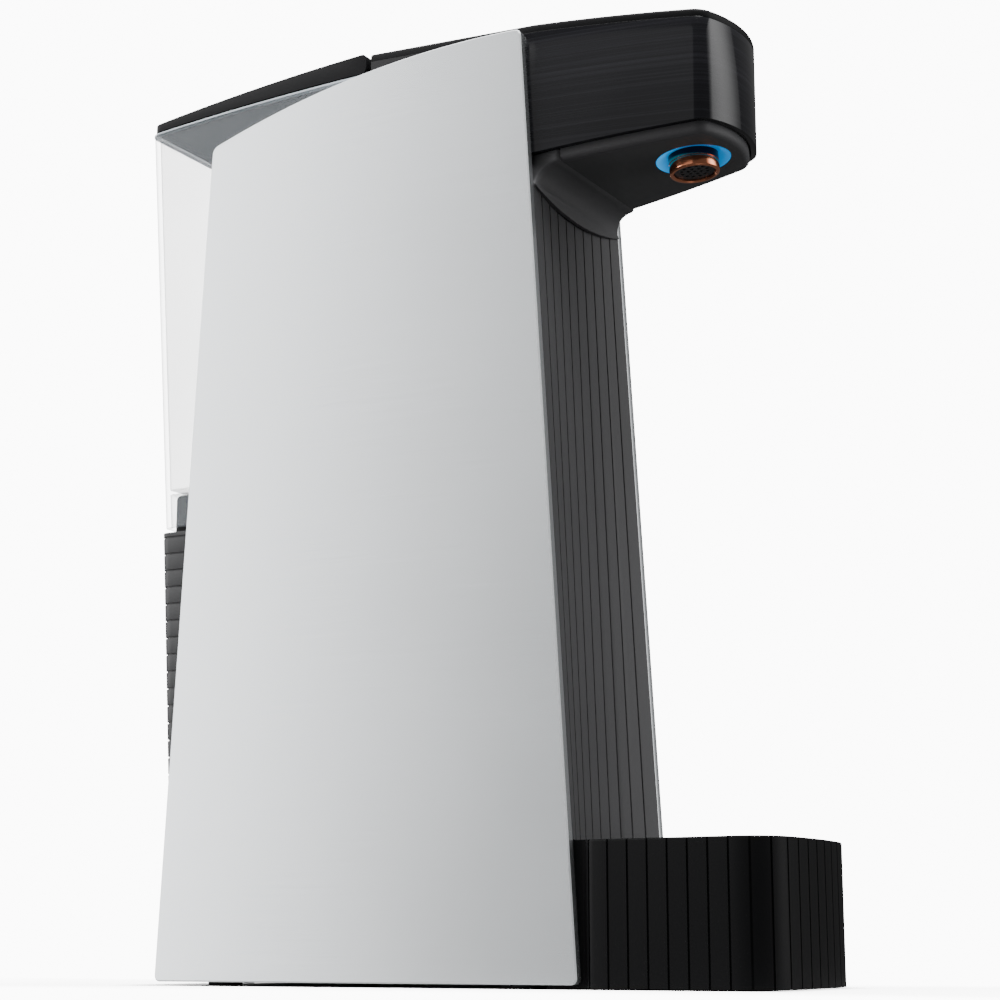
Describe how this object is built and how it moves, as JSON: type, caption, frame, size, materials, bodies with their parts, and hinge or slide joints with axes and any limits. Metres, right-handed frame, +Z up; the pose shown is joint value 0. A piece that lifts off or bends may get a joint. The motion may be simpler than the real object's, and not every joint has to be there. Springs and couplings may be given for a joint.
{
  "type": "countertop water dispenser",
  "caption": "Narrow countertop water dispenser with a lift-off rear tank, ribbed front column, overhanging head, lit nozzle and slide-out drip tray.",
  "frame": {"origin": "on the worktop, at the middle of the footprint over the drip tray and the tank", "axes": "+Z up, +Y from the drip tray to the tank, +X to the machine's left as seen from the front"},
  "size_m": [0.086, 0.295, 0.3893],
  "materials": {
    "panel": "satin, sprayed silver metal",
    "frame": "plain zinc grey",
    "steel": "plain",
    "gloss": "deep gloss black",
    "matte": "fine matte charcoal",
    "column": "satin charcoal",
    "black": "satin black",
    "inner": "plain moulded",
    "white": "plain moulded",
    "rubber": "matte",
    "tank": "clear moulded plastic",
    "lid": "satin dark grey",
    "copper": "polished copper tone",
    "ring": "lit blue diffuser",
    "board": "circuit board green",
    "button": "gloss",
    "alu": "plain",
    "tube": "clear silicone",
    "filter": "plain white"
  },
  "bodies": {
    "machine": {"side_panel_left": "panel", "side_panel_right": "panel", "side_frame_left": "frame", "side_frame_right": "frame", "panel_screws": "steel", "base_plate": "frame", "feet": "rubber", "base_screws": "steel", "mid_shelf": "inner", "bay_wall": "black", "front_column": "column", "head_shell": "gloss", "top_cover": "gloss", "head_underside": "matte", "cove": "matte", "led_ring": "ring", "led_board": "board", "nozzle_collar": "copper", "nozzle_aerator": "inner", "nozzle_socket": "inner", "outlet_valve": "inner", "button_switches": "black", "control_board": "board", "rear_housing": "black", "power_inlet": "black", "inlet_pins": "steel", "switch_housing": "black", "tank_dock": "black", "dock_seal": "rubber", "cold_stand": "inner", "cold_tank": "white", "peltier_plate": "white", "heatsink": "alu", "fan_frame": "black", "pump": "black", "pump_mount": "inner", "flow_heater": "alu", "heater_hanger": "inner", "filter_seat": "inner", "filter_cartridge": "filter", "power_supply": "board", "tube_tank_to_pump": "tube", "tube_pump_to_heater": "tube", "tube_heater_to_valve": "tube", "tube_tank_to_cooler": "tube", "tube_cooler_to_filter": "tube", "tube_filter_to_valve": "tube", "tube_valve_to_nozzle": "tube"},
    "tank": {"tank_body": "tank", "tank_valve": "white"},
    "lid": {"tank_lid": "lid", "hinge_pins": "steel"},
    "tray": {"drip_tray": "black"},
    "grate": {"drip_grate": "black"},
    "button_left_body": {"button_left": "button"},
    "button_middle_body": {"button_middle": "button"},
    "button_right_body": {"button_right": "button"},
    "rocker": {"rocker_switch": "black"},
    "fan": {"fan_rotor": "black"}
  },
  "joints": [
    {"name": "tank_lift", "type": "slide", "parent": "machine", "child": "tank", "axis": [0, 0, 1], "range_m": [0, 0.2]},
    {"name": "lid_hinge", "type": "hinge", "parent": "tank", "child": "lid", "pos_m": [0, 0.03435, 0.3849], "axis": [1, 0, 0], "range_deg": [0, 95]},
    {"name": "tray_slide", "type": "slide", "parent": "machine", "child": "tray", "axis": [0, -1, 0], "range_m": [0, 0.06]},
    {"name": "grate_lift", "type": "slide", "parent": "tray", "child": "grate", "axis": [0, 0, 1], "range_m": [0, 0.03]},
    {"name": "press_left", "type": "slide", "parent": "machine", "child": "button_left_body", "axis": [0, 0.0467, -0.9989], "range_m": [0, 0.0008], "stiffness_N_per_m": 400, "springref_m": -0.0008},
    {"name": "press_middle", "type": "slide", "parent": "machine", "child": "button_middle_body", "axis": [0, 0.0467, -0.9989], "range_m": [0, 0.0008], "stiffness_N_per_m": 400, "springref_m": -0.0008},
    {"name": "press_right", "type": "slide", "parent": "machine", "child": "button_right_body", "axis": [0, 0.0467, -0.9989], "range_m": [0, 0.0008], "stiffness_N_per_m": 400, "springref_m": -0.0008},
    {"name": "rocker_tilt", "type": "hinge", "parent": "machine", "child": "rocker", "pos_m": [0.018, 0.12304, 0.03212], "axis": [1, 0, 0], "range_deg": [0, 16]},
    {"name": "fan_spin", "type": "hinge", "parent": "machine", "child": "fan", "pos_m": [0, 0.11773, 0.1], "axis": [0, 1, 0], "continuous": true}
  ]
}
